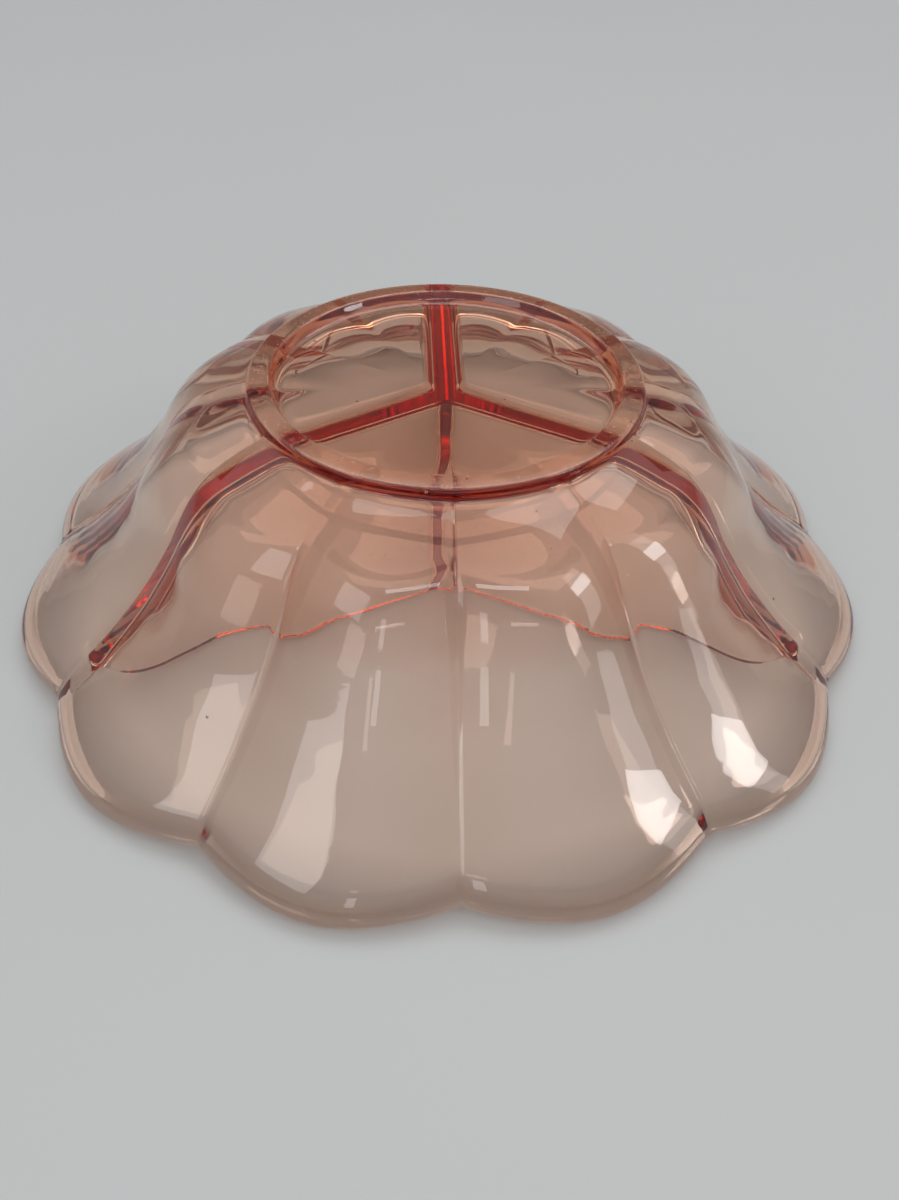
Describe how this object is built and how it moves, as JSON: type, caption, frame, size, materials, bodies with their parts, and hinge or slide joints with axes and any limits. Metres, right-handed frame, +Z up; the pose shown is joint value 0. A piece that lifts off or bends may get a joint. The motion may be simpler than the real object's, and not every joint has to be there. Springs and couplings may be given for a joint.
{
  "type": "divided candy dish",
  "caption": "Round divided candy dish in pale pink pressed glass with a scalloped rim, ogee petal walls, radial dividers and a low foot ring, stored upside down on its rim.",
  "frame": {"origin": "on the dish's axis, in the plane the scalloped rim rests on", "axes": "+Z up from the rim to the ground foot ring, so the dish is stored upside down; +Y runs along the back divider from the axis to its crease; +X to the right when seen from the front, -Y, side. Turn it over about X for use"},
  "size_m": [0.1862, 0.1862, 0.0503],
  "materials": {
    "pink_glass": "clear pressed glass, pale peach pink, deep amber red where thick"
  },
  "bodies": {
    "root": {"foot_ring": "pink_glass", "base_disc": "pink_glass", "petal_01": "pink_glass", "petal_02": "pink_glass", "petal_03": "pink_glass", "petal_04": "pink_glass", "petal_05": "pink_glass", "petal_06": "pink_glass", "petal_07": "pink_glass", "petal_08": "pink_glass", "petal_09": "pink_glass", "petal_10": "pink_glass", "petal_11": "pink_glass", "petal_12": "pink_glass", "divider_back": "pink_glass", "divider_left": "pink_glass", "divider_right": "pink_glass"}
  },
  "joints": []
}
